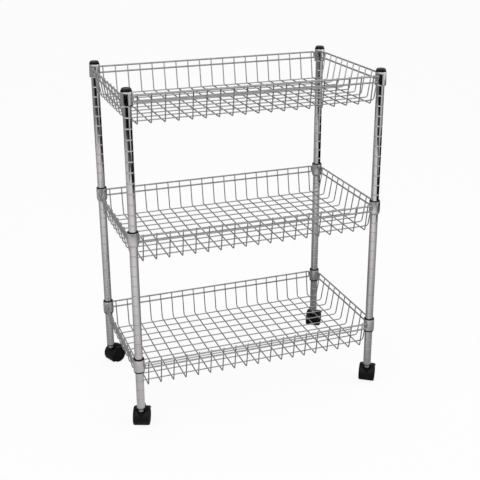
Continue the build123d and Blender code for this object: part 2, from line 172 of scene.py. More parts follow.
class Graph:
    """The node tree of one material or of the world."""

    def __init__(self, tree: bpy.types.NodeTree) -> None:
        """Empties the tree.

        Args:
            tree: the node tree to fill.
        """
        self.tree = tree
        self.tree.nodes.clear()

    def node(
        self,
        kind: str,
        settings: Mapping[str, object] | None = None,
        inputs: Mapping[Union[str, int], Term] | None = None,
    ) -> bpy.types.Node:
        """Makes a node.

        Args:
            kind: the node's type, without its ShaderNode prefix.
            settings: attributes, set first; a ramp's stops are given as "stops".
            inputs: values or signals for the sockets, by name or index.

        Returns:
            The node.
        """
        node = self.tree.nodes.new("ShaderNode" + kind)
        for name, value in (settings or {}).items():
            if name == "stops":
                self._stops(node, value)
            else:
                setattr(node, name, value)
        for name, value in (inputs or {}).items():
            if isinstance(value, Signal):
                self.tree.links.new(value.socket, node.inputs[name])
            else:
                node.inputs[name].default_value = self._fitted(node.inputs[name], value)
        return node

    @staticmethod
    def _fitted(socket: bpy.types.NodeSocket, value: Term) -> object:
        """A value with as many numbers as the socket takes.

        Args:
            socket: the socket that is to hold the value.
            value: a number or a colour.

        Returns:
            The value, as a colour with alpha where the socket takes one.
        """
        if socket.type == "RGBA":
            return (*value, 1.0) if isinstance(value, tuple) else (value, value, value, 1.0)
        return value

    @staticmethod
    def _stops(node: bpy.types.Node, stops: Stops) -> None:
        """Sets a ramp's stops, each a place and a grey level.

        Args:
            node: the ramp.
            stops: its stops, each a place and a grey level.
        """
        elements = node.color_ramp.elements
        while len(elements) < len(stops):
            elements.new(1.0)
        for element, (place, level) in zip(elements, stops):
            element.position = place
            element.color = (level, level, level, 1.0)

    def signal(self, node: bpy.types.Node, output: Union[str, int] = 0) -> Signal:
        """One output of a node, as a signal."""
        return Signal(self, node.outputs[output])

    def maths(self, operation: str, *terms: Term) -> Signal:
        """A Math node's result."""
        return self.signal(self.node("Math", {"operation": operation}, dict(enumerate(terms))))

    def ramp(self, factor: Term, *stops: Pair) -> Signal:
        """A grey level read from a ramp."""
        return self.signal(self.node("ValToRGB", {"stops": stops}, {"Fac": factor}))

    def tint(self, share: Term, low: Triple | Signal, high: Triple) -> Signal:
        """A colour between two colours, the share being the second's."""
        mix = self.node("Mix", {"data_type": "RGBA"}, {0: share, 6: low, 7: high})
        return self.signal(mix, 2)

    def place(self) -> Signal:
        """The point on the piece, in its own metres."""
        return self.signal(self.node("TexCoord"), "Object")

    def stretched(self, place: Signal, scale: Triple) -> Signal:
        """A place with its axes scaled."""
        node = self.node("VectorMath", {"operation": "MULTIPLY"}, {0: place, 1: scale})
        return self.signal(node)

    def axes(self, place: Signal) -> tuple[Signal, Signal, Signal]:
        """A place's X, Y and Z."""
        node = self.node("SeparateXYZ", inputs={0: place})
        return self.signal(node, 0), self.signal(node, 1), self.signal(node, 2)

    def noise(self, place: Signal, scale: float, detail: float = 3.0, roughness: float = 0.5) -> Signal:
        """Soft noise from 0 to 1."""
        inputs = {"Vector": place, "Scale": scale, "Detail": detail, "Roughness": roughness}
        return self.signal(self.node("TexNoise", inputs=inputs))

    def shaded(self, kind: str, strength: Term, colour: Triple = (1.0, 1.0, 1.0)) -> Signal:
        """A plain light of a strength: Emission, or Background in the world."""
        return self.signal(self.node(kind, inputs={"Color": colour, "Strength": strength}))

    def mixed(self, share: Term, first: Signal, second: Signal) -> Signal:
        """Two shaders mixed, the share being the second's."""
        return self.signal(self.node("MixShader", inputs={0: share, 1: first, 2: second}))

    def bump(self, height: Signal, strength: float, distance: float) -> Signal:
        """A normal bent by a height."""
        inputs = {"Height": height, "Strength": strength, "Distance": distance}
        return self.signal(self.node("Bump", inputs=inputs))


# ---------------------------------------------------------------- finishes
class Finish:
    """A surface finish, made into a material once."""

    name = "finish"

    def material(self) -> bpy.types.Material:
        """The finish's material, made on first use.

        Returns:
            The material.
        """
        found = bpy.data.materials.get(self.name)
        if found is not None:
            return found
        made = bpy.data.materials.new(self.name)
        made.use_nodes = True
        graph = Graph(made.node_tree)
        sockets = self.sockets(graph)
        surface = graph.node("BsdfPrincipled", inputs=sockets)
        graph.node("OutputMaterial", inputs={"Surface": graph.signal(surface)})
        return made

    def sockets(self, graph: Graph) -> dict[str, Term]:
        """What feeds the Principled shader's sockets."""
        raise NotImplementedError


@dataclass(frozen=True)
class ChromeTube(Finish):
    """Bright plate over a drawn tube: lengthwise streaks, a wavy skin, smudges, pits, and painted shade in
    the grooves.
    """

    name: str = "chrome_tube"
    colour: Triple = (0.610, 0.596, 0.602)
    smudged: Triple = (0.520, 0.506, 0.512)
    # painted shade: the darker plate colour inside the grooves
    groove_shade: Triple = (0.24, 0.232, 0.235)
    gloss: float = 0.040
    streak_scale: float = 900.0
    streak_stretch: Triple = (1.0, 1.0, 0.06)
    streak_haze: float = 0.03
    streak_depth: float = 0.06
    smudge_scale: float = 34.0
    smudge_edge: Stops = ((0.42, 0.0), (0.72, 1.0))
    smudge_tint: float = 0.6
    smudge_haze: float = 0.05
    pit_scale: float = 1900.0
    pit_edge: Stops = ((0.70, 0.0), (0.78, 1.0))
    pit_tint: float = 0.3
    wave_scale: float = 70.0
    wave_depth: float = 0.5
    relief: float = 0.4 * MM
    relief_strength: float = 0.08
    groove_foot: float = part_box("post_fl")[0].z
    groove_half: float = 1.2 * MM
    groove_clear: float = 0.7
    # how far the grooves' colour goes towards that painted shade
    groove_shade_share: float = 0.42
    groove_haze: float = 0.30

    def sockets(self, graph: Graph) -> dict[str, Term]:
        """Plate whose haze and tint drift along the tube, with a few pits and painted shade in the grooves.

        Args:
            graph: the material's node tree.

        Returns:
            Values and signals by socket name.
        """
        place = graph.place()
        streaks = graph.noise(graph.stretched(place, self.streak_stretch), self.streak_scale, detail=2.0)
        smears = graph.noise(place, self.smudge_scale, detail=4.0, roughness=0.6)
        smudge = graph.ramp(smears, *self.smudge_edge)
        pits = graph.ramp(graph.noise(place, self.pit_scale, detail=1.0), *self.pit_edge)
        waves = graph.noise(place, self.wave_scale, detail=1.0)
        plate = graph.tint(smudge * self.smudge_tint + pits * self.pit_tint, self.colour, self.smudged)
        grooved = self._grooved(graph, place)
        haze = smudge * self.smudge_haze + streaks * self.streak_haze + grooved * self.groove_haze
        relief = waves * self.wave_depth + streaks * self.streak_depth
        return {
            # painted shade: the colour darkens in the grooves, dimming the highlights that they mirror
            "Base Color": graph.tint(grooved * self.groove_shade_share, plate, self.groove_shade),
            "Metallic": 1.0,
            "Roughness": self.gloss + haze,
            "Normal": graph.bump(relief, self.relief_strength, self.relief),
        }

    def _grooved(self, graph: Graph, place: Signal) -> Signal:
        """1 in the tube's grooves and 0 between them.

        Args:
            graph: the material's node tree.
            place: the point on the tube.

        Returns:
            The mask.
        """
        level = (graph.axes(place)[2] - self.groove_foot) / GROOVE_PITCH
        half_pitch = 0.5
        share = self.groove_half / GROOVE_PITCH
        offset = graph.maths("PINGPONG", level, half_pitch)
        return graph.ramp(offset, (share * self.groove_clear, 1.0), (share, 0.0))


@dataclass(frozen=True)
class ChromeWire(Finish):
    """Plate over welded wire: dull patches and fine lumps, its colour darker than the tube's as painted
    shade.
    """

    name: str = "chrome_wire"
    # painted shade: the plate's colour, set darker than the tube's
    colour: Triple = (0.300, 0.295, 0.297)
    dull: Triple = (0.225, 0.221, 0.223)
    gloss: float = 0.14
    patch_scale: float = 60.0
    patch_edge: Stops = ((0.40, 0.0), (0.70, 1.0))
    patch_tint: float = 0.8
    patch_haze: float = 0.12
    lump_scale: float = 1200.0
    lump_haze: float = 0.04
    relief: float = 0.1 * MM
    relief_strength: float = 0.06

    def sockets(self, graph: Graph) -> dict[str, Term]:
        """Plate with small dull patches and the fine lumps that plating leaves on drawn wire.

        Args:
            graph: the material's node tree.

        Returns:
            Values and signals by socket name.
        """
        place = graph.place()
        spread = graph.noise(place, self.patch_scale, detail=4.0, roughness=0.6)
        patches = graph.ramp(spread, *self.patch_edge)
        lumps = graph.noise(place, self.lump_scale, detail=2.0)
        return {
            "Base Color": graph.tint(patches * self.patch_tint, self.colour, self.dull),
            "Metallic": 1.0,
            "Roughness": self.gloss + patches * self.patch_haze + lumps * self.lump_haze,
            "Normal": graph.bump(lumps, self.relief_strength, self.relief),
        }


@dataclass(frozen=True)
class ChromeCollar(Finish):
    """Plate over a drawn steel collar, a little satin, with dull specks."""

    name: str = "chrome_collar"
    colour: Triple = (0.610, 0.597, 0.602)
    dull: Triple = (0.44, 0.43, 0.434)
    gloss: float = 0.16
    haze: float = 0.14
    haze_scale: float = 50.0
    haze_edge: Stops = ((0.40, 0.0), (0.70, 1.0))
    haze_tint: float = 0.3
    speck_scale: float = 420.0
    speck_edge: Stops = ((0.62, 0.0), (0.70, 1.0))
    speck_tint: float = 0.7
    speck_haze: float = 0.2
    line_scale: float = 1400.0
    line_stretch: Triple = (1.0, 1.0, 0.05)
    relief: float = 0.1 * MM
    relief_strength: float = 0.10

    def sockets(self, graph: Graph) -> dict[str, Term]:
        """Plate with draw lines up the collar and scattered specks.

        Args:
            graph: the material's node tree.

        Returns:
            Values and signals by socket name.
        """
        place = graph.place()
        lines = graph.noise(graph.stretched(place, self.line_stretch), self.line_scale, detail=2.0)
        specks = graph.ramp(graph.noise(place, self.speck_scale, detail=2.0), *self.speck_edge)
        haze = graph.ramp(graph.noise(place, self.haze_scale), *self.haze_edge)
        dullness = specks * self.speck_tint + haze * self.haze_tint
        return {
            "Base Color": graph.tint(dullness, self.colour, self.dull),
            "Metallic": 1.0,
            "Roughness": self.gloss + haze * self.haze + specks * self.speck_haze,
            "Normal": graph.bump(lines, self.relief_strength, self.relief),
        }


@dataclass(frozen=True)
class ZincSteel(Finish):
    """Zinc-plated steel of stems, washers, axles and pins."""

    name: str = "zinc_steel"
    colour: Triple = (0.56, 0.56, 0.55)
    grey: Triple = (0.36, 0.36, 0.37)
    gloss: float = 0.30
    cloud_scale: float = 220.0
    cloud_edge: Stops = ((0.35, 0.0), (0.70, 1.0))
    cloud_haze: float = 0.2
    ring_scale: float = 3000.0
    ring_stretch: Triple = (0.1, 0.1, 1.0)
    relief: float = 0.05 * MM
    relief_strength: float = 0.15

    def sockets(self, graph: Graph) -> dict[str, Term]:
        """Cloudy plate with fine turning marks.

        Args:
            graph: the material's node tree.

        Returns:
            Values and signals by socket name.
        """
        place = graph.place()
        clouds = graph.ramp(graph.noise(place, self.cloud_scale, detail=4.0), *self.cloud_edge)
        rings = graph.noise(graph.stretched(place, self.ring_stretch), self.ring_scale, detail=2.0)
        return {
            "Base Color": graph.tint(clouds, self.colour, self.grey),
            "Metallic": 1.0,
            "Roughness": self.gloss + clouds * self.cloud_haze,
            "Normal": graph.bump(rings, self.relief_strength, self.relief),
        }


@dataclass(frozen=True)
class MouldedPlastic(Finish):
    """Black moulded plastic with a spark-eroded grain, scuffs and dust."""

    name: str = "black_plastic"
    colour: Triple = (0.0025, 0.0025, 0.0027)
    worn: Triple = (0.010, 0.0097, 0.0095)
    gloss: float = 0.36
    sheen: float = 0.10
    scuff: float = 0.5
    grain_scale: float = 2600.0
    grain_haze: float = 0.08
    relief: float = 0.03 * MM
    relief_strength: float = 0.25
    mark_scale: float = 90.0
    mark_edge: Stops = ((0.48, 0.0), (0.78, 1.0))
    mark_haze: float = 0.14
    dust_scale: float = 700.0
    dust_edge: Stops = ((0.60, 0.0), (0.80, 1.0))
    dust_tint: float = 0.6

    def sockets(self, graph: Graph) -> dict[str, Term]:
        """Grain in the normal, broad handling marks in colour and roughness.

        Args:
            graph: the material's node tree.

        Returns:
            Values and signals by socket name.
        """
        place = graph.place()
        grain = graph.noise(place, self.grain_scale, detail=2.0)
        marks = graph.ramp(graph.noise(place, self.mark_scale, detail=5.0, roughness=0.65), *self.mark_edge)
        dust = graph.ramp(graph.noise(place, self.dust_scale, roughness=0.7), *self.dust_edge)
        return {
            "Base Color": graph.tint((marks + dust * self.dust_tint) * self.scuff, self.colour, self.worn),
            "Roughness": self.gloss + marks * self.mark_haze + grain * self.grain_haze,
            "Normal": graph.bump(grain, self.relief_strength, self.relief),
            "Specular IOR Level": self.sheen,
        }


CHROME_TUBE = ChromeTube()
# painted shade: the wire finishes are copies of one chrome plate, each darker than the tube's, at its own
# tone
CHROME_RIM_PAINTED_SHADE = ChromeWire("chrome_rim", colour=(0.40, 0.394, 0.397), dull=(0.30, 0.295, 0.297))
CHROME_WIRE_PAINTED_SHADE = ChromeWire()
CHROME_TOP_PAINTED_SHADE = ChromeWire("chrome_top", colour=(0.46, 0.453, 0.456), dull=(0.36, 0.354, 0.357))
CHROME_LONG_PAINTED_SHADE = ChromeWire("chrome_long", colour=(0.42, 0.413, 0.416), dull=(0.32, 0.314, 0.317))
CHROME_COLLAR = ChromeCollar()
BRIGHT_COLLAR = ChromeCollar("bright_collar", gloss=0.07, haze=0.06)
ZINC = ZincSteel()
CAP_PLASTIC = MouldedPlastic("black_cap", gloss=0.24, sheen=0.30)
SLEEVE_PLASTIC = MouldedPlastic("black_sleeve", gloss=0.42)
SOCKET_PLASTIC = MouldedPlastic("black_socket", colour=(0.008, 0.008, 0.008), gloss=0.45)
HOOD_PLASTIC = MouldedPlastic("black_hood", gloss=0.34, scuff=0.6, sheen=0.14)
LEVER_PLASTIC = MouldedPlastic("black_lever", gloss=0.38, scuff=0.8)
WHEEL_PLASTIC = MouldedPlastic("black_wheel", colour=(0.0035, 0.0035, 0.0035), gloss=0.48, scuff=0.9)


# ---------------------------------------------------------------- mesh work
Ring = Sequence[Vector]

EDGE_SHARE = 0.45  # most of an edge that one rounding may take
BREAK_REACH = 0.35  # length of a rod's broken end, in radii
BREAK_RINGS = ((0.94, 0.3), (0.72, 0.0))  # its rings, as shares of the radius and of that length
SLAB_EDGE = ((0.0, 1.0), (0.29, 0.29), (1.0, 0.0))  # a slab's rounded edge, as shares of its radius
BEAD_LEVELS = (-1.0, -0.72, 0.0, 0.72, 1.0)  # a bead's rings, as shares of its half height


def round_angles(sides: int) -> list[float]:
    """Evenly spaced angles round a full turn, in radians."""
    return [2 * math.pi * i / sides for i in range(sides)]


def upright(centre: Vector) -> Matrix:
    """The place of an upright axis through a point, with its origin at floor level."""
    return Matrix.Translation((centre.x, centre.y, 0))


def half_width(node: str) -> float:
    """Half the width of a node's box along X: a round node's radius."""
    low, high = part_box(node)
    return (high.x - low.x) / 2


def middle(node: str) -> Vector:
    """The middle of a node's box."""
    low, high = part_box(node)
    return (low + high) / 2


def arc(centre: Pair, radius: float, start: float, end: float, steps: int) -> list[Pair]:
    """Points on an arc, both ends included.

    Args:
        centre: the arc's centre.
        radius: the arc's radius.
        start: first angle, in degrees.
        end: last angle, in degrees.
        steps: how many intervals the arc is divided into.

    Returns:
        The points.
    """
    angles = [math.radians(start + (end - start) * i / steps) for i in range(steps + 1)]
    return [(centre[0] + radius * math.cos(a), centre[1] + radius * math.sin(a)) for a in angles]


def eased(outline: Sequence[Pair], radius: float, closed: bool = True, steps: int = 3) -> list[Pair]:
    """Rounds the corners of an outline.

    Args:
        outline: the corners.
        radius: how far each rounding may reach along its two edges.
        closed: whether the last corner joins the first.
        steps: intervals in each rounding.

    Returns:
        The rounded outline.
    """
    count = len(outline)
    result: list[Pair] = []
    for i, corner in enumerate(outline):
        if not closed and i in (0, count - 1):
            result.append(corner)
            continue
        here = Vector(corner)
        before = Vector(outline[i - 1]) - here
        after = Vector(outline[(i + 1) % count]) - here
        reach = min(radius, before.length * EDGE_SHARE, after.length * EDGE_SHARE)
        first = here + before.normalized() * reach
        last = here + after.normalized() * reach
        for step in range(steps + 1):
            t = step / steps
            point = first * (1 - t) ** 2 + here * 2 * t * (1 - t) + last * t**2
            result.append((point.x, point.y))
    return result


def inset(outline: Sequence[Pair], distance: float) -> list[Pair]:
    """Moves a closed outline, listed anticlockwise, inward by a distance.

    Args:
        outline: the corners.
        distance: how far each edge moves.

    Returns:
        The moved outline.
    """
    moved = []
    for i, corner in enumerate(outline):
        here = Vector(corner)
        before = (here - Vector(outline[i - 1])).normalized()
        after = (Vector(outline[(i + 1) % len(outline)]) - here).normalized()
        along = before + after
        if along.length < TINY:
            along = after
        along.normalize()
        moved.append((here.x - along.y * distance, here.y + along.x * distance))
    return moved


class Shaper:
    """Gathers closed shells into one mesh."""

    def __init__(self) -> None:
        """Starts with an empty mesh."""
        self.mesh = bmesh.new()

    def skin(self, rings: Sequence[Ring], closed: bool = False, capped: bool = False) -> None:
        """Joins rings of points into a shell.

        Args:
            rings: rings with the same number of points; a ring of one point is a tip.
            closed: whether the last ring joins the first.
            capped: whether the first and last rings are filled.
        """
        rows = [[self.mesh.verts.new(point) for point in ring] for ring in rings]
        pairs = list(zip(rows, rows[1:]))
        if closed:
            pairs.append((rows[-1], rows[0]))
        faces = []
        for low, high in pairs:
            count = max(len(low), len(high))
            for i in range(count):
                j = (i + 1) % count
                if len(low) == 1:
                    corners = (low[0], high[j], high[i])
                elif len(high) == 1:
                    corners = (low[i], low[j], high[0])
                else:
                    corners = (low[i], low[j], high[j], high[i])
                faces.append(self.mesh.faces.new(corners))
        if capped:
            faces.append(self.mesh.faces.new(reversed(rows[0])))
            faces.append(self.mesh.faces.new(rows[-1]))
        bmesh.ops.recalc_face_normals(self.mesh, faces=faces)

    def turn(self, outline: Sequence[Pair], at: Matrix, sides: int) -> None:
        """Turns an outline of (radius, height) points about a Z axis.

        Args:
            outline: a closed outline, or an open one whose ends lie on the axis.
            at: the place of the axis.
            sides: facets round the axis.
        """
        rings = []
        for radius, height in outline:
            if radius < TINY:
                rings.append([at @ Vector((0, 0, height))])
                continue
            spots = [(radius * math.cos(a), radius * math.sin(a), height) for a in round_angles(sides)]
            rings.append([at @ Vector(spot) for spot in spots])
        self.skin(rings, closed=outline[0][0] > TINY)

    def rod(self, path: Sequence[Vector], radius: float, closed: bool = False, sides: int = 12) -> None:
        """Runs a round rod along a path, with its cut ends broken.

        Args:
            path: points along the centre line.
            radius: the rod's radius.
            closed: whether the path is a loop.
            sides: facets round the rod.
        """
        count = len(path)
        angles = round_angles(sides)
        steep = 0.9
        rings = []
        normal = None
        for i, point in enumerate(path):
            before = path[i - 1] if closed or i > 0 else point
            after = path[(i + 1) % count] if closed or i < count - 1 else point
            along = (after - before).normalized()
            if normal is None:
                normal = along.cross(Vector((0, 0, 1)) if abs(along.z) < steep else Vector((1, 0, 0)))
            normal = (normal - along * normal.dot(along)).normalized()
            other = along.cross(normal)
            rings.append([point + (normal * math.cos(a) + other * math.sin(a)) * radius for a in angles])
        if not closed:
            first = self._broken_end(path[0], path[1], rings[0], radius)
            last = self._broken_end(path[-1], path[-2], rings[-1], radius)
            rings = [*reversed(first), *rings[1:-1], *last]
        self.skin(rings, closed=closed)

    @staticmethod
    def _broken_end(end: Vector, before: Vector, ring: Ring, radius: float) -> list[list[Vector]]:
        """The rings of a rod's end, from its full section to the middle of its cut face.

        Args:
            end: the rod's end.
            before: the next point of its path.
            ring: its full section at that end.
            radius: the rod's radius.

        Returns:
            The rings.
        """
        back = (before - end).normalized() * radius * BREAK_REACH
        rings = [[point + back for point in ring]]
        for share, reach in BREAK_RINGS:
            rings.append([end + (point - end) * share + back * reach for point in ring])
        return [*rings, [end]]

    def slab(self, outline: Sequence[Pair], low: float, high: float, at: Matrix, edge: float) -> None:
        """A plate with rounded edges: an outline in XZ, carried along Y.

        Args:
            outline: the closed outline, listed anticlockwise.
            low: the plate's lower Y.
            high: the plate's upper Y.
            at: the plate's place.
            edge: the radius of its edges.
        """
        levels = [(low + edge * up, edge * inward) for up, inward in SLAB_EDGE]
        levels += [(high - edge * up, edge * inward) for up, inward in reversed(SLAB_EDGE)]
        rings = [[at @ Vector((x, y, z)) for x, z in inset(outline, inward)] for y, inward in levels]
        self.skin(rings, capped=True)

    def nugget(self, at: Vector, size: Triple, sides: int) -> None:
        """A flattened weld bead.

        Args:
            at: the bead's middle.
            size: its half lengths along X, Y and Z.
            sides: facets round it.
        """
        rings = []
        for lift in BEAD_LEVELS:
            spread = math.sqrt(1 - lift * lift)
            long, wide, high = spread * size[0], spread * size[1], lift * size[2]
            if spread < TINY:
                rings.append([at + Vector((0, 0, high))])
                continue
            angles = round_angles(sides)
            rings.append([at + Vector((long * math.cos(a), wide * math.sin(a), high)) for a in angles])
        self.skin(rings)

    def piece(self, name: str, finish: Finish, sharp: float = 32.0) -> bpy.types.Object:
        """Ends the mesh and puts it in the scene.

        Args:
            name: the object's name.
            finish: its surface finish.
            sharp: edges that turn by more degrees than this stay crisp.

        Returns:
            The object.
        """
        data = bpy.data.meshes.new(name)
        self.mesh.to_mesh(data)
        self.mesh.free()
        data.shade_smooth()
        data.set_sharp_from_angle(angle=math.radians(sharp))
        data.materials.append(finish.material())
        made = bpy.data.objects.new(name, data)
        bpy.context.scene.collection.objects.link(made)
        return made


def rounded_path(corners: Sequence[Vector], bend: float, steps: int = 6) -> list[Vector]:
    """A path of straight runs joined by tangent arcs.

    Args:
        corners: the path's ends and corners.
        bend: the radius of each bend's centre line.
        steps: intervals in each bend.

    Returns:
        Points along the path.
    """
    path = [corners[0]]
    for before, here, after in zip(corners, corners[1:], corners[2:]):
        inward = (before - here).normalized()
        outward = (after - here).normalized()
        half = inward.angle(outward) / 2
        reach = bend / math.tan(half)
        centre = here + (inward + outward).normalized() * (bend / math.sin(half))
        first = here + inward * reach - centre
        last = here + outward * reach - centre
        whole = first.angle(last)
        for i in range(steps + 1):
            t = i / steps
            weights = math.sin((1 - t) * whole) / math.sin(whole), math.sin(t * whole) / math.sin(whole)
            path.append(centre + first * weights[0] + last * weights[1])
    path.append(corners[-1])
    return path


def turned(
    name: str, outline: Sequence[Pair], at: Matrix, sides: int, finish: Finish, sharp: float = 32.0
) -> bpy.types.Object:
    """A piece that is one turned shell.

    Args:
        name: the object's name.
        outline: its outline of (radius, height) points.
        at: the place of its axis.
        sides: facets round the axis.
        finish: its surface finish.
        sharp: edges that turn by more degrees than this stay crisp.

    Returns:
        The object.
    """
    shaper = Shaper()
    shaper.turn(outline, at, sides)
    return shaper.piece(name, finish, sharp)


def fitted(piece: bpy.types.Object, body: str, nodes: Iterable[str]) -> bpy.types.Object:
    """Ties a piece to the frame.

    Args:
        piece: the dressed piece.
        body: the body that it moves with.
        nodes: the nodes that it stands for.

    Returns:
        The piece.
    """
    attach(piece, body)
    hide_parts(*nodes)
    LOG.info("%s on %s", piece.name, body)
    return piece


# ---------------------------------------------------------------- posts
@dataclass
class Post:
    """One grooved tube with its cap and the socket for its caster.

    A groove's profile is given from its edge to its bed, as shares of its half width and of its depth.
    """

    corner: Corner
    wall: float = 1.0 * MM
    groove_width: float = 1.8 * MM
    groove_depth: float = 0.45 * MM
    groove_profile: Stops = ((2.0, 0.0), (1.25, 0.0), (1.0, 0.12), (0.35, 1.0))
    rolled_edge: float = 0.45 * MM
    foot_height: float = 2 * MM
    tube_sides: int = 72
    cap_chamfer: float = 2.3 * MM
    cap_dish: float = 0.5 * MM
    cap_rim: float = 1.2 * MM
    cap_rounding: float = 0.7 * MM
    plug_gap: float = 0.35 * MM
    plug_chamfer: float = 1.5 * MM
    rib_depths: Pair = (8 * MM, 3 * MM)
    rib_half: float = 1 * MM
    socket_end_wall: float = 3.0 * MM
    socket_rounding: float = 0.4 * MM
    socket_sides: int = 56
    stem_play: float = 0.05 * MM

    def __post_init__(self) -> None:
        """Reads the tube's place and size from the frame."""
        self.node = f"post_{self.corner.value}"
        self.foot, self.top = (v.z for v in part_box(self.node))
        self.radius = half_width(self.node)
        self.bore = self.radius - self.wall

    def build(self) -> None:
        """Makes the three pieces."""
        cap = f"post_cap_{self.corner.value}"
        socket = f"stem_socket_{self.corner.value}"
        fitted(self.tube(), "cart", [self.node])
        fitted(self.cap(cap), "cart", [cap])
        fitted(self.socket(socket), "cart", [socket])

    def tube(self) -> bpy.types.Object:
        """The tube, with a rounded groove at every pitch.

        Returns:
            The tube.
        """
        radius, foot = self.radius, self.foot
        ends = [(self.bore, self.top), (self.bore, foot), (radius, foot), (radius, foot + self.foot_height)]
        outline = eased(ends, self.rolled_edge, closed=False)
        level = foot + GROOVE_PITCH
        while level < self.top - self.groove_width:
            outline += [(r, level - z) for r, z in self._groove()]
            level += GROOVE_PITCH
        outline.append((radius, self.top))
        at = upright(middle(self.node))
        return turned(f"tube_{self.corner.value}", outline, at, self.tube_sides, CHROME_TUBE, sharp=40)

    def _groove(self) -> list[Pair]:
        """One groove's outline going up, as radius and distance below the groove's middle.

        Returns:
            The points.
        """
        half, depth = self.groove_width / 2, self.groove_depth
        upper = [(self.radius - depth * deep, half * off) for off, deep in self.groove_profile]
        return upper + [(r, -z) for r, z in reversed(upper)]

    def cap(self, node: str) -> bpy.types.Object:
        """The cap: a chamfered head with a dished top over a plug with two ribs.

        Args:
            node: the cap's node.

        Returns:
            The cap.
        """
        low, high = (v.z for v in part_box(node))
        head, seat = half_width(node), self.top
        plug = self.bore - self.plug_gap
        land = head - self.cap_chamfer
        dish = high - self.cap_dish
        outline = [(0, low), (plug - self.plug_chamfer, low), (plug, low + self.plug_chamfer)]
        for depth in self.rib_depths:
            rib = seat - depth
            outline += [(plug, rib - self.rib_half), (self.bore, rib), (plug, rib + self.rib_half)]
        outline += [(plug, seat), (head, seat), (head, high - self.cap_chamfer), (land, high)]
        outline += [(land - self.cap_rim, high), (land - self.cap_rim - self.cap_dish, dish), (0, dish)]
        smooth = eased(outline, self.cap_rounding, closed=False, steps=4)
        at = upright(middle(node))
        return turned(f"cap_{self.corner.value}", smooth, at, self.tube_sides, CAP_PLASTIC, sharp=40)

    def socket(self, node: str) -> bpy.types.Object:
        """The plastic insert: a flange under the tube and a body inside it, round the stem's hole.

        Args:
            node: the insert's node.

        Returns:
            The insert.
        """
        low, high = (v.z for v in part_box(node))
        flange, body = half_width(node), self.bore
        hole = half_width(f"caster_{self.corner.value}_stem") + self.stem_play
        end = high - self.socket_end_wall
        outline = [(0, high), (body, high), (body, self.foot), (flange, self.foot), (flange, low)]
        outline += [(hole, low), (hole, end), (0, end)]
        smooth = eased(outline, self.socket_rounding, closed=False)
        at = upright(middle(node))
        return turned(f"socket_{self.corner.value}", smooth, at, self.socket_sides, SOCKET_PLASTIC)


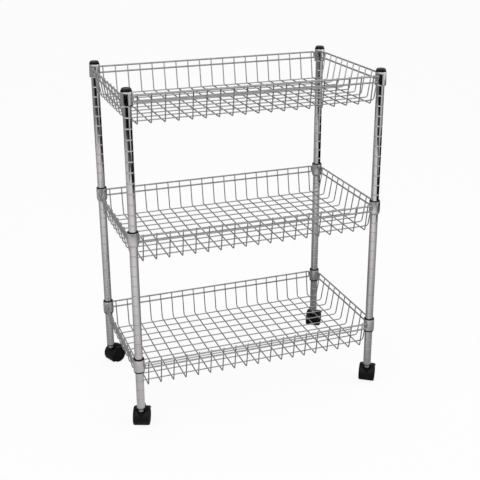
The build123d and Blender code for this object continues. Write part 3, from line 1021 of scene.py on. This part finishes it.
# ---------------------------------------------------------------- baskets
@dataclass
class Basket:
    """One basket: collars on their split sleeves, rim loops, and two layers of floor and wall wires."""

    tier: Tier
    rim_gauge: float = 4.0 * MM
    rim_sides: int = 20
    grid_gauge: float = 2.8 * MM
    loop_height: float = 14.4 * MM
    lean: float = math.radians(9.3)
    sink: float = 0.25 * MM
    tip: float = 2.6 * MM
    cross_count: int = 19
    cross_pitch: float = 30.5 * MM
    cross_bend: float = 4.5 * MM
    length_count: int = 10
    length_pitch: float = 31.7 * MM
    length_bend: float = 7.0 * MM
    rim_bend: float = 3.6 * MM
    collar_wall: float = 2.0 * MM
    collar_edge: float = 0.5 * MM
    collar_sides: int = 72
    taper_height: float = 5.5 * MM
    draft: float = 0.8 * MM
    draft_bands: int = 6
    slit: float = 0.6 * MM
    foot_height: float = 3.6 * MM
    sleeve_edge: float = 0.35 * MM
    sleeve_steps: int = 32
    play: float = 0.05 * MM
    bead_share: float = 0.62
    bead_squash: float = 0.5
    end_bead: Triple = (1.6 * MM, 1.6 * MM, 5.0 * MM)

    def __post_init__(self) -> None:
        """Reads the basket's place from the frame."""
        self.posts = {corner: middle(f"post_{corner.value}") for corner in Corner}
        self.post_radius = half_width("post_fl")
        self.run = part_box(self.node("basket_rims"))[1] - Vector((1, 1, 1)) * self.rim_gauge / 2
        self.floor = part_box(self.node("basket_cross_wires"))[0].z + self.grid_gauge / 2
        self.collar_low, self.collar_high = (v.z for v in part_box(self.node("basket_collars")))
        self.collar_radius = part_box(self.node("basket_collars"))[1].x - self.posts[Corner.FRONT_RIGHT].x

    def node(self, part: str) -> str:
        """The name of one of the basket's nodes."""
        return f"{self.tier.value}_{part}"

    def build(self) -> None:
        """Makes the basket's pieces."""
        fitted(self.collars(), "cart", [self.node("basket_collars")])
        fitted(self.sleeves(), "cart", [self.node("split_sleeves")])
        fitted(self.rims(), "cart", [self.node("basket_rims")])
        fitted(self.cross_wires(), "cart", [self.node("basket_cross_wires")])
        fitted(self.length_wires(), "cart", [self.node("basket_length_wires")])
        welds = self.welds()
        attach(welds, "cart")
        LOG.info("%s on cart", welds.name)

    # -- collars and sleeves
    def collars(self) -> bpy.types.Object:
        """The four collars: drafted on the top basket, swaged in on the middle one, plain on the lowest.

        Returns:
            The collars, as one piece.
        """
        outer = self.collar_radius
        bore = outer - self.collar_wall
        low, high = self.collar_low, self.collar_high
        if self.tier is Tier.TOP:
            shares = [i / self.draft_bands for i in range(self.draft_bands + 1)]
            side = [(outer - self.draft * t**2, low + (high - low) * t) for t in shares]
            outline = [(bore, low), *side, (bore, high)]
        elif self.tier is Tier.BOTTOM:
            outline = [(bore, low), (outer, low), (outer, high), (bore, high)]
        else:
            end_bore = self.post_radius + self.play
            end = end_bore + self.collar_wall / 2
            taper = low + self.taper_height
            outline = [(end_bore, low), (end, low), (outer, taper), (outer, high), (bore, high)]
            outline.append((bore, taper))
        shaper = Shaper()
        for centre in self.posts.values():
            shaper.turn(eased(outline, self.collar_edge), upright(centre), self.collar_sides)
        finish = BRIGHT_COLLAR if self.tier is Tier.TOP else CHROME_COLLAR
        return shaper.piece(self.node("collars"), finish, sharp=40)

    def sleeves(self) -> bpy.types.Object:
        """The half sleeves, two round each post: a lip over the collar and, on the lowest basket, a foot.

        Returns:
            The half sleeves, as one piece.
        """
        outer = self.collar_radius - self.collar_wall - self.play
        inner = self.post_radius + self.play
        lowest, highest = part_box(self.node("split_sleeves"))
        low, top = lowest.z, highest.z
        lip = highest.x - self.posts[Corner.FRONT_RIGHT].x
        outline = [(inner, low), (outer, low)]
        if self.tier is Tier.BOTTOM:
            step = low + self.foot_height
            outline = [(inner, low), (lip, low), (lip, step), (outer, step)]
        outline += [(outer, self.collar_high), (lip, self.collar_high), (lip, top), (inner, top)]
        outline = eased(outline, self.sleeve_edge)
        gap = math.asin(self.slit / 2 / inner)
        span, steps = math.pi - 2 * gap, self.sleeve_steps
        shaper = Shaper()
        for centre in self.posts.values():
            for start in (0.0, math.pi):
                rings = []
                for i in range(steps + 1):
                    angle = start + gap + span * i / steps
                    cos, sin = math.cos(angle), math.sin(angle)
                    rings.append([upright(centre) @ Vector((r * cos, r * sin, z)) for r, z in outline])
                shaper.skin(rings, capped=True)
        return shaper.piece(self.node("sleeves"), SLEEVE_PLASTIC, sharp=40)

    # -- rims
    def _collar_gap(self) -> float:
        """Distance along a side from a post's axis to where its rim loop ends."""
        outset = self.run.y - self.posts[Corner.BACK_LEFT].y - self.loop_height / 2 * math.sin(self.lean)
        return math.sqrt(self.collar_radius**2 - outset**2)

    def _sides(self) -> list[tuple[Matrix, float]]:
        """Each side's frame, with its own X along the side and -Y outward, and the length between posts.

        Returns:
            A place and a length for each side.
        """
        across = self.posts[Corner.FRONT_RIGHT].x * 2
        deep = self.posts[Corner.BACK_LEFT].y * 2
        sides = []
        for quarter, length, run in ((0, across, self.run.y), (1, deep, self.run.x)):
            for half in (0, 2):
                turn = Matrix.Rotation((quarter + half) * math.pi / 2, 4, "Z")
                lean = Matrix.Rotation(self.lean, 4, "X")
                sides.append((turn @ Matrix.Translation((0, -run, self.run.z)) @ lean, length))
        return sides

    def rims(self) -> bpy.types.Object:
        """The four rim loops.

        Returns:
            The loops, as one piece.
        """
        shaper = Shaper()
        bend = self.rim_bend
        high, low = -bend, bend - self.loop_height
        for at, length in self._sides():
            end = length / 2 - self._collar_gap() - self.rim_gauge / 2 - bend
            outline = []
            for x, z, start in ((end, high, 90), (end, low, 0), (-end, low, 270), (-end, high, 180)):
                outline += arc((x, z), bend, start, start - 90, steps=8)
            path = [at @ Vector((x, 0, z)) for x, z in outline]
            shaper.rod(path, self.rim_gauge / 2, closed=True, sides=self.rim_sides)
        return shaper.piece(self.node("rims"), CHROME_RIM_PAINTED_SHADE)

    # -- grid
    def _wall(self, run: float, below: float) -> float:
        """Distance from the basket's middle to a grid wire's centre line on a wall."""
        offset = (self.rim_gauge / 2 + self.grid_gauge / 2 - self.sink) / math.cos(self.lean)
        return run - offset - below * math.tan(self.lean)

    def _u_path(self, run: float, floor: float, bend: float) -> list[Pair]:
        """A grid wire's path: up one wall, along the floor, up the other.

        Args:
            run: distance from the basket's middle to the rims that the wire ends at.
            floor: height of its centre line on the floor.
            bend: radius of its two bends.

        Returns:
            Points of (distance along the wire, height).
        """
        depth = self.run.z - floor
        top, foot = self._wall(run, -self.tip), self._wall(run, depth)
        corners = [(-top, self.run.z + self.tip), (-foot, floor), (foot, floor), (top, self.run.z + self.tip)]
        path = rounded_path([Vector((x, z, 0)) for x, z in corners], bend)
        return [(point.x, point.y) for point in path]

    @staticmethod
    def _spread(count: int, pitch: float) -> list[float]:
        """Evenly spaced places either side of zero."""
        return [(i - (count - 1) / 2) * pitch for i in range(count)]

    def _length_floor(self) -> float:
        """Height of the lengthwise wires' centre line."""
        return self.floor + self.grid_gauge - self.sink

    def cross_wires(self) -> bpy.types.Object:
        """The wires from front to back.

        Returns:
            The wires, as one piece.
        """
        shaper = Shaper()
        path = self._u_path(self.run.y, self.floor, self.cross_bend)
        for x in self._spread(self.cross_count, self.cross_pitch):
            shaper.rod([Vector((x, y, z)) for y, z in path], self.grid_gauge / 2)
        return shaper.piece(self.node("cross_wires"), CHROME_WIRE_PAINTED_SHADE)

    def length_wires(self) -> bpy.types.Object:
        """The wires along the cart.

        Returns:
            The wires, as one piece.
        """
        shaper = Shaper()
        path = self._u_path(self.run.x, self._length_floor(), self.length_bend)
        for y in self._spread(self.length_count, self.length_pitch):
            shaper.rod([Vector((x, y, z)) for x, z in path], self.grid_gauge / 2)
        # painted shade: the top basket's lengthwise wires get a lighter copy than the other baskets'
        return shaper.piece(self.node("length_wires"), CHROME_TOP_PAINTED_SHADE if self.tier is Tier.TOP else CHROME_LONG_PAINTED_SHADE)

    def welds(self) -> bpy.types.Object:
        """The beads: at every crossing of the floor, on both runs of the rims, and at the collars.

        Returns:
            The beads, as one piece.
        """
        shaper = Shaper()
        bead = self.grid_gauge * self.bead_share
        crossing = self.floor + self.grid_gauge / 2 - self.sink / 2
        columns = self._spread(self.cross_count, self.cross_pitch)
        rows = self._spread(self.length_count, self.length_pitch)
        for x in columns:
            for y in rows:
                shaper.nugget(Vector((x, y, crossing)), (bead, bead, bead * self.bead_squash), sides=8)
        for index, (at, length) in enumerate(self._sides()):
            places = columns if index < 2 else rows
            for drop in (0.0, -self.loop_height):
                for x in places:
                    shaper.nugget(at @ Vector((x, self.rim_gauge / 2, drop)), (bead, bead, bead), sides=8)
            end = length / 2 - self._collar_gap() - self.rim_gauge / 8
            for side in (-1, 1):
                shaper.nugget(at @ Vector((side * end, 0, -self.loop_height / 2)), self.end_bead, sides=12)
        return shaper.piece(self.node("welds"), CHROME_WIRE_PAINTED_SHADE)


# ---------------------------------------------------------------- casters
@dataclass
class Caster:
    """One twin-wheel caster. Its own frame has the swivel axis on Z and the wheels trailing towards +X."""

    corner: Corner
    tread_gap: float = 0.8 * MM
    web: float = 6.0 * MM
    web_sink: float = 0.3 * MM
    side_gap: float = 0.5 * MM
    wheel_width: float = 15.4 * MM
    tread_shoulder: float = 3.0 * MM
    dish_radius: float = 14.5 * MM
    dish_depth: float = 1.0 * MM
    wheel_hub: float = 5.5 * MM
    wheel_slope: float = 0.3 * MM
    wheel_rounding: float = 0.3 * MM
    wheel_sides: int = 80
    axle_radius: float = 3.0 * MM
    axle_cover: float = 2.5 * MM
    axle_gap: float = 0.3 * MM
    play: float = 0.05 * MM
    pin_chamfer: float = 0.15
    pin_sides: int = 40
    hood_thickness: float = 3.0 * MM
    hood_edge: float = 0.6 * MM
    end_edge: float = 0.35 * MM
    shell_step: float = 1.6
    shell_steps_across: tuple[int, int] = (72, 16)
    edge_proud: float = 1.0 * MM
    crown_half: float = 14.0 * MM
    crown_power: float = 3.42
    rear_angle: float = 30.0
    front_angle: float = 218.0
    hub_radius: float = 8.0 * MM
    hub_rounding: float = 0.3 * MM
    hub_sides: int = 48
    web_bore_gap: float = 1.0 * MM
    web_edge: float = 0.2 * MM
    notch_depth: float = 1.6 * MM
    notch_half_width: float = 12.0 * MM
    notch_rise: float = 8.0 * MM
    notch_softness: float = 0.45 * MM
    boss_radius: float = 6.5 * MM
    boss_edge: float = 0.4 * MM
    boss_sides: int = 48
    neck_radius: float = 2.2 * MM
    stem_chamfer: float = 1.0 * MM
    stem_rounding: float = 0.25 * MM
    stem_sides: int = 48
    washer_rounding: float = 0.35 * MM
    washer_sides: int = 56
    slot_angles: Pair = (36.0, 66.0)
    slot_half: float = 7.5 * MM
    lever_half: float = 7.0 * MM
    lever_gap: float = 0.5 * MM
    lever_thickness: float = 2.2 * MM
    lever_angles: Pair = (50.0, 94.0)
    lever_hub: float = 1.8 * MM
    lever_hub_rounding: float = 0.2 * MM
    lever_hub_sides: int = 32
    lever_lift: float = 22.0
    pedal_edge: float = 0.4 * MM
    arm_half_angle: float = 3.5
    arm_sink: float = 0.1 * MM
    arm_foot: float = 0.8 * MM
    arm_edge: float = 0.3 * MM
    pin_radius: float = 0.9 * MM
    pin_reach: float = 3.0 * MM
    released: tuple[Corner, ...] = (Corner.FRONT_LEFT,)

    def __post_init__(self) -> None:
        """Reads the caster's place and main sizes from the frame."""
        name = self.corner.value
        roll = next(j for j in frame["joints"] if j["name"] == f"roll_{name}_left")
        heading = math.atan2(-roll["axis"][0], roll["axis"][1])
        centre = middle(self.node("stem"))
        self.place = upright(centre) @ Matrix.Rotation(heading, 4, "Z")
        self.wheel_radius = roll["pos_m"][2]
        self.trail = (Vector(roll["pos_m"][:2]) - centre.xy).length
        self.axle = self.place @ Matrix.Translation((self.trail, 0, self.wheel_radius))
        self.wheel_in = self.web / 2 + self.side_gap
        self.wheel_out = self.wheel_in + self.wheel_width
        self.tread = self.wheel_radius + self.tread_gap
        self.crown = self.tread + self.hood_thickness
        self.hood_half = self.wheel_out + self.edge_proud
        self.braked = f"brake_{name}" in frame["bodies"]
        self.boss_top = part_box(self.node("washer"))[0].z

    def node(self, part: str) -> str:
        """The name of one of the caster's nodes."""
        return f"caster_{self.corner.value}_{part}"

    def build(self) -> None:
        """Makes the caster's pieces."""
        axle_half = self.wheel_out - self.axle_cover
        self._fit(self.hood(), "hood")
        self._fit(self.stem(), "stem")
        self._fit(self.washer(), "washer")
        self._fit(self.rod("axle", self.axle_radius, axle_half, self.axle), "axle")
        for side, name in ((1, "left_wheel"), (-1, "right_wheel")):
            self._fit(self.wheel(side, name), name)
        if self.braked:
            pin = self.rod("brake_pin", self.pin_radius, self.slot_half + self.pin_reach, self._pivot())
            self._fit(pin, "brake_pin")
            self._fit(self.lever(), "brake_lever")

    def _fit(self, piece: bpy.types.Object, part: str) -> None:
        """Ties a piece to the body of the node that it stands for."""
        node = self.node(part)
        fitted(piece, frame["nodes"][node]["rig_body"], [node])

    @staticmethod
    def _across(at: Matrix) -> Matrix:
        """A place whose Z runs along the axle."""
        return at @ Matrix.Rotation(-math.pi / 2, 4, "X")

    def _pivot(self) -> Matrix:
        """The place of the brake lever's pin, in the middle of the hood's shell."""
        radius, angle = (self.tread + self.crown) / 2, math.radians(self.lever_angles[0])
        return self.axle @ Matrix.Translation((radius * math.cos(angle), 0, radius * math.sin(angle)))

    def rod(self, part: str, radius: float, half: float, at: Matrix) -> bpy.types.Object:
        """A steel pin across the caster, its ends chamfered.

        Args:
            part: the piece's name, without its corner.
            radius: its radius.
            half: half its length.
            at: the place of its middle, with Y along it.

        Returns:
            The pin.
        """
        edge = radius * self.pin_chamfer
        outline = [(0, -half), (radius - edge, -half), (radius, edge - half), (radius, half - edge)]
        outline += [(radius - edge, half), (0, half)]
        return turned(f"{part}_{self.corner.value}", outline, self._across(at), self.pin_sides, ZINC)

    def wheel(self, side: int, name: str) -> bpy.types.Object:
        """A moulded wheel: rounded tread, dished outer face round a hub, and a blind bore.

        Args:
            side: 1 for the wheel on the +Y side, -1 for the other one.
            name: the piece's name, without its corner.

        Returns:
            The wheel.
        """
        width, bore, shoulder = self.wheel_width, self.axle_radius + self.play, self.tread_shoulder
        bed, end = width - self.dish_depth, width - self.axle_cover + self.axle_gap
        ledge = self.wheel_radius - shoulder
        outline = [(0, end), (bore, end), (bore, 0.0), *arc((ledge, shoulder), shoulder, -90, 0, steps=6)]
        outline += arc((ledge, width - shoulder), shoulder, 0, 90, steps=6)
        outline += [(self.dish_radius, width), (self.dish_radius - self.wheel_slope, bed)]
        outline += [(self.wheel_hub + self.wheel_slope, bed), (self.wheel_hub, width), (0, width)]
        smooth = eased(outline, self.wheel_rounding, closed=False, steps=2)
        inner_face = self.axle @ Matrix.Translation((0, side * self.wheel_in, 0))
        at = inner_face @ Matrix.Rotation(-side * math.pi / 2, 4, "X")
        return turned(f"{name}_{self.corner.value}", smooth, at, self.wheel_sides, WHEEL_PLASTIC, sharp=36)

    def stem(self) -> bpy.types.Object:
        """The steel stem and the thinner neck that is pressed into the hood.

        Returns:
            The stem.
        """
        low, high = (v.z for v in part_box(self.node("stem")))
        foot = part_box(self.node("washer"))[1].z
        radius, neck, edge = half_width(self.node("stem")), self.neck_radius, self.stem_chamfer
        outline = [(0, low), (neck, low), (neck, foot), (radius, foot), (radius, high - edge)]
        outline += [(radius - edge, high), (0, high)]
        smooth = eased(outline, self.stem_rounding, closed=False)
        return turned(f"stem_{self.corner.value}", smooth, self.place, self.stem_sides, ZINC)

    def washer(self) -> bpy.types.Object:
        """The bright washer over the hood's boss.

        Returns:
            The washer.
        """
        low, high = (v.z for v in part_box(self.node("washer")))
        radius, hole = half_width(self.node("washer")), self.neck_radius
        smooth = eased([(hole, low), (radius, low), (radius, high), (hole, high)], self.washer_rounding)
        return turned(f"washer_{self.corner.value}", smooth, self.place, self.washer_sides, ZINC)

    # -- hood
    def hood(self) -> bpy.types.Object:
        """The hood: a crowned shell with a V-shaped hollow, its web, the web's hub and the stem boss.

        Returns:
            The hood.
        """
        shaper = Shaper()
        start, end = self.rear_angle, self.front_angle
        half, slot = self.hood_half, self.slot_half
        if self.braked:
            low, high = self.slot_angles
            self._shell(shaper, (start, low), (-half, half), (True, False))
            self._shell(shaper, (low, high), (-half, -slot), (False, False))
            self._shell(shaper, (low, high), (slot, half), (False, False))
            self._shell(shaper, (high, end), (-half, half), (False, True))
        else:
            self._shell(shaper, (start, end), (-half, half), (True, True))
        self._web(shaper)
        bore, hub, side = self.axle_radius, self.hub_radius, self.web / 2
        ring = eased([(bore, -side), (hub, -side), (hub, side), (bore, side)], self.hub_rounding)
        shaper.turn(ring, self._across(self.axle), self.hub_sides)
        self._boss(shaper)
        return shaper.piece(f"hood_{self.corner.value}", HOOD_PLASTIC, sharp=40)

    def _top(self, y: float, angle: float) -> float:
        """The hood's outer radius, less where its V-shaped hollow is.

        Args:
            y: distance across the hood from its middle.
            angle: angle about the axle, in radians.

        Returns:
            The radius.
        """
        beyond = max(0.0, abs(y) - self.crown_half) / (self.hood_half - self.crown_half)
        top = self.crown - (self.hood_thickness - self.hood_edge) * beyond**self.crown_power
        height = self.wheel_radius + self.crown * math.sin(angle)
        tip = self.wheel_radius + self.notch_rise
        slope = self.notch_half_width / (self.wheel_radius + self.crown - tip)
        inside = ((height - tip) * slope - abs(y)) / math.hypot(1, slope)
        ahead = self.trail / 2 - (self.trail + self.crown * math.cos(angle))
        share = min(1.0, max(0.0, min(inside, ahead) / self.notch_softness / 2 + 0.5))
        return top - self.notch_depth * share * share * (3 - 2 * share)

    def _shell(self, shaper: Shaper, angles: Pair, across: Pair, free: tuple[bool, bool]) -> None:
        """A stretch of the hood's shell.

        Args:
            shaper: the mesh to add it to.
            angles: its first and last angle about the axle, in degrees.
            across: its lower and upper distance across the hood.
            free: whether the first and the last end are free, with broken edges.
        """
        (start, end), (low, high) = angles, across
        edge = self.end_edge
        wide, narrow = self.shell_steps_across
        count = wide if high - low > self.hood_half else narrow
        places = [low + (high - low) * i / count for i in range(count + 1)]
        steps = max(4, round((end - start) / self.shell_step))
        levels = [(start + (end - start) * i / steps, 0.0) for i in range(steps + 1)]
        broken = math.degrees(edge / self.crown)
        if free[0]:
            levels = [(start, edge), (start + broken, 0.0), *levels[1:]]
        if free[1]:
            levels = [*levels[:-1], (end - broken, 0.0), (end, edge)]
        rings = []
        for degrees, inward in levels:
            angle = math.radians(degrees)
            spots = [(y, self._top(y, angle) - inward) for y in places]
            spots += [(high, self.tread + inward), (low, self.tread + inward)]
            cos, sin = math.cos(angle), math.sin(angle)
            rings.append([self.axle @ Vector((r * cos, y, r * sin)) for y, r in spots])
        shaper.skin(rings, capped=True)

    def _web(self, shaper: Shaper) -> None:
        """The plate between the wheels, from the hub out into the shell.

        Args:
            shaper: the mesh to add it to.
        """
        axis, rim = (0, 0), self.tread + self.web_sink
        start, end = self.rear_angle, self.front_angle
        outline = arc(axis, rim, start, end, steps=60)
        if self.braked:
            low, high = self.slot_angles
            outline = arc(axis, rim, start, low, steps=3)
            outline += arc(axis, self.wheel_radius, low, high, steps=10)
            outline += arc(axis, rim, high, end, steps=48)
        outline += arc(axis, self.axle_radius + self.web_bore_gap, end, start, steps=24)
        shaper.slab(outline, -self.web / 2, self.web / 2, self.axle, self.web_edge)

    def _boss(self, shaper: Shaper) -> None:
        """The boss round the stem's neck, its foot buried in the shell.

        Args:
            shaper: the mesh to add it to.
        """
        radius, hole, top, edge = self.boss_radius, self.neck_radius, self.boss_top, self.boss_edge
        buried = self.tread + self.web_sink
        rings: list[list[Vector]] = [[], [], [], [], []]
        for turn in round_angles(self.boss_sides):
            x, y = math.cos(turn), math.sin(turn)
            foot = self.wheel_radius + math.sqrt(buried**2 - (radius * x - self.trail) ** 2)
            deep = self.wheel_radius + math.sqrt(buried**2 - (hole * x - self.trail) ** 2)
            spots = ((radius, foot), (radius, top - edge), (radius - edge, top), (hole, top), (hole, deep))
            for ring, (r, z) in zip(rings, spots):
                ring.append(self.place @ Vector((r * x, r * y, z)))
        shaper.skin(rings, closed=True)

    # -- brake
    def lever(self) -> bpy.types.Object:
        """The brake lever: a curved pedal over the crown, its arm and the hub on the pin.

        Returns:
            The lever.
        """
        inner = self.crown + self.lever_gap
        outer = inner + self.lever_thickness
        first, last = self.lever_angles
        half, axis = self.lever_half, (0, 0)
        lift = self.lever_lift if self.corner in self.released else 0.0
        pivot = self._pivot()
        lifted = pivot @ Matrix.Rotation(math.radians(lift), 4, "Y") @ pivot.inverted() @ self.axle
        shaper = Shaper()
        pedal = arc(axis, outer, first, last, steps=22) + arc(axis, inner, last, first, steps=22)
        shaper.slab(pedal, -half, half, lifted, self.pedal_edge)
        low, high = first - self.arm_half_angle, first + self.arm_half_angle
        arm = arc(axis, outer - self.arm_sink, low, high, steps=4)
        arm += arc(axis, self.wheel_radius + self.arm_foot, high, low, steps=4)
        shaper.slab(arm, -half, half, lifted, self.arm_edge)
        bore, hub = self.pin_radius + self.play, self.lever_hub
        ring = eased([(bore, -half), (hub, -half), (hub, half), (bore, half)], self.lever_hub_rounding)
        shaper.turn(ring, self._across(pivot), self.lever_hub_sides)
        return shaper.piece(f"lever_{self.corner.value}", LEVER_PLASTIC)


# ---------------------------------------------------------------- studio
@dataclass(frozen=True)
class Panel:
    """A square lamp: its name, its place, the length of its sides and its power in watts."""

    name: str
    at: Triple
    side: float
    power: float


@dataclass
class Studio:
    """Floor, world, lamps and camera."""

    stand: Triple = (-0.700, -1.970, 1.195)
    heading: float = 19.9
    tilt: float = 19.5
    roll: float = 0.27
    lens: float = 67.5
    sensor: float = 36.0
    rise: float = -0.0667
    floor_half: float = 12.0
    floor_thickness: float = 0.01
    plain_tone: float = 0.75
    # painted reflection: tones that only reflections see, darker towards the back and lighter above
    mirrored_tones: Stops = ((0.10, 0.52), (0.55, 0.50), (0.90, 1.0))
    top_glow: float = 0.35
    top_edge: Stops = ((0.25, 0.0), (0.85, 1.0))
    key: Panel = Panel("key", (-1.6, -1.2, 2.2), 2.8, 22.0)
    fill: Panel = Panel("fill", (2.0, -0.6, 1.4), 2.2, 9.0)

    def build(self) -> None:
        """Makes all four."""
        self.floor()
        self.world()
        for panel in (self.key, self.fill):
            self._lamp(panel)
        self.camera()
        bpy.context.scene.view_settings.view_transform = "Standard"

    def floor(self) -> None:
        """A plain pale floor that keeps a faint shadow."""
        half = self.floor_half
        corners = ((-half, -half), (half, -half), (half, half), (-half, half))
        levels = (0, -self.floor_thickness)
        shaper = Shaper()
        shaper.skin([[Vector((x, y, z)) for x, y in corners] for z in levels], capped=True)
        finish = PaleFloor()
        shaper.piece(finish.name, finish)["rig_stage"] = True

    def world(self) -> None:
        """White to the camera, plain to matt surfaces and, as a painted reflection, lighter in front and
        above.
        """
        made = bpy.data.worlds.new("studio_world")
        bpy.context.scene.world = made
        made.use_nodes = True
        graph = Graph(made.node_tree)
        rays = graph.node("LightPath")
        _, back, up = graph.axes(graph.signal(graph.node("TexCoord"), "Generated"))
        # painted reflection: glossy rays see these tones where the camera sees white
        frontal = graph.ramp(0.5 - back * 0.5, *self.mirrored_tones)
        mirrored = graph.shaded("Background", frontal + graph.ramp(up, *self.top_edge) * self.top_glow)
        plain = graph.shaded("Background", self.plain_tone)
        white = graph.shaded("Background", 1.0)
        light = graph.mixed(graph.signal(rays, "Is Glossy Ray"), plain, mirrored)
        shown = graph.mixed(graph.signal(rays, "Is Camera Ray"), light, white)
        graph.node("OutputWorld", inputs={"Surface": shown})

    @staticmethod
    def _lamp(panel: Panel) -> None:
        """Hangs a lamp so that it faces the cart's middle.

        Args:
            panel: the lamp.
        """
        data = bpy.data.lights.new(panel.name, "AREA")
        data.shape = "SQUARE"
        data.size = panel.side
        data.energy = panel.power
        lamp = bpy.data.objects.new(panel.name, data)
        bpy.context.scene.collection.objects.link(lamp)
        lamp.location = panel.at
        low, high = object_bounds()
        lamp.rotation_euler = ((low + high) / 2 - lamp.location).to_track_quat("-Z", "Y").to_euler()

    def camera(self) -> None:
        """A camera with a long lens, in front of the cart and to its left, looking down at it."""
        data = bpy.data.cameras.new("camera")
        data.sensor_width = self.sensor
        data.lens = self.lens
        data.shift_y = self.rise
        eye = bpy.data.objects.new("camera", data)
        bpy.context.scene.collection.objects.link(eye)
        bpy.context.scene.camera = eye
        turn = Matrix.Rotation(math.radians(-self.heading), 4, "Z")
        nod = Matrix.Rotation(math.radians(90 - self.tilt), 4, "X")
        lean = Matrix.Rotation(math.radians(-self.roll), 4, "Z")
        eye.matrix_world = Matrix.Translation(self.stand) @ turn @ nod @ lean


@dataclass(frozen=True)
class PaleFloor(Finish):
    """A pale sweep: nearly white to the camera, with the cart's shadow held faint, and a painted reflection
    that only plate shows.

    The painted reflection is read by distance from the cart and by heading, as stops of (degrees, tone):
    0 is the cart's right end, 90 its back, -90 its front and 180 its left end. The tones step from near to
    middle, distant and horizon at the distances in changes, each in metres times the reach of its heading.
    Close to the cart the near tones are darkened by painted shade, given in under as stops of (metres,
    factor).
    """

    name: str = "studio_floor"
    tone: float = 0.92
    glow: float = 0.90
    # painted shade: in reflections, the floor darkens towards the cart, as stops of (metres, factor)
    under: Stops = ((0.0, 0.65), (0.5, 0.75), (1.2, 1.0))
    under_span: float = 2.0
    reach: Stops = ((-180, 0.7), (-90, 0.65), (-50, 0.95), (60, 1.0), (180, 0.7))
    near: Stops = ((-180, 0.65), (-130, 0.95), (-85, 0.95), (-50, 0.55), (15, 0.3), (140, 0.4), (180, 0.65))
    middle: Stops = ((-180, 0.75), (-145, 0.7), (-125, 0.1), (-90, 0.0), (60, 0.0), (180, 0.75))
    distant: Stops = ((-180, 0.4), (-135, 0.0), (-85, 0.0), (-65, 0.75), (-50, 0.75), (-40, 0.0), (60, 0.0),
                      (180, 0.4))
    horizon: Stops = ((-180, 0.4), (-150, 0.0), (-85, 0.0), (-60, 0.8), (10, 0.1), (180, 0.4))
    changes: tuple[Pair, Pair, Pair] = ((1.4, 1.6), (1.9, 2.1), (2.6, 3.0))

    def material(self) -> bpy.types.Material:
        """A matt sheet with some light of its own to the camera and painted tones in reflections.

        Returns:
            The material.
        """
        made = bpy.data.materials.new(self.name)
        made.use_nodes = True
        graph = Graph(made.node_tree)
        sheet = graph.signal(graph.node("BsdfDiffuse", inputs={"Color": (self.tone,) * 3}))
        rays = graph.node("LightPath")
        camera = graph.signal(rays, "Is Camera Ray") * self.glow
        shown = graph.mixed(camera, sheet, graph.shaded("Emission", 1.0))
        # painted reflection: glossy rays see the set tones, not the lit sheet
        mirrored = graph.shaded("Emission", self._painted_reflection(graph))
        shown = graph.mixed(graph.signal(rays, "Is Glossy Ray"), shown, mirrored)
        graph.node("OutputMaterial", inputs={"Surface": shown})
        return made

    def _painted_reflection(self, graph: Graph) -> Signal:
        """The painted reflection tone that plate shows at each point of the floor.

        Args:
            graph: the material's node tree.

        Returns:
            The tone.
        """
        across, deep, _ = graph.axes(graph.place())
        away = graph.maths("SQRT", across * across + deep * deep)
        heading = graph.maths("ARCTAN2", deep, across) / (2 * math.pi) + 0.5
        span = self.under_span
        # painted shade near and under the cart, seen only in reflections
        shade = graph.ramp(away / span, *((distance / span, tone) for distance, tone in self.under))
        tones = self._by_heading(graph, heading, self.near) * shade
        spread = away * self._by_heading(graph, heading, self.reach)
        for stops, (low, high) in zip((self.middle, self.distant, self.horizon), self.changes):
            inputs = {"Value": spread, "From Min": low, "From Max": high}
            step = graph.signal(graph.node("MapRange", {"interpolation_type": "SMOOTHSTEP"}, inputs))
            tones = tones + (self._by_heading(graph, heading, stops) - tones) * step
        return tones

    @staticmethod
    def _by_heading(graph: Graph, heading: Signal, stops: Stops) -> Signal:
        """A tone read from stops of (degrees, tone)."""
        return graph.ramp(heading, *((degrees / 360 + 0.5, tone) for degrees, tone in stops))


def main() -> None:
    """Builds the cart's pieces and the studio."""
    logging.basicConfig(level=logging.INFO, format="%(name)s: %(message)s")
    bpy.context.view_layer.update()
    for corner in Corner:
        Post(corner).build()
    for tier in Tier:
        Basket(tier).build()
    for corner in Corner:
        Caster(corner).build()
    Studio().build()


if __name__ == "__main__":
    main()
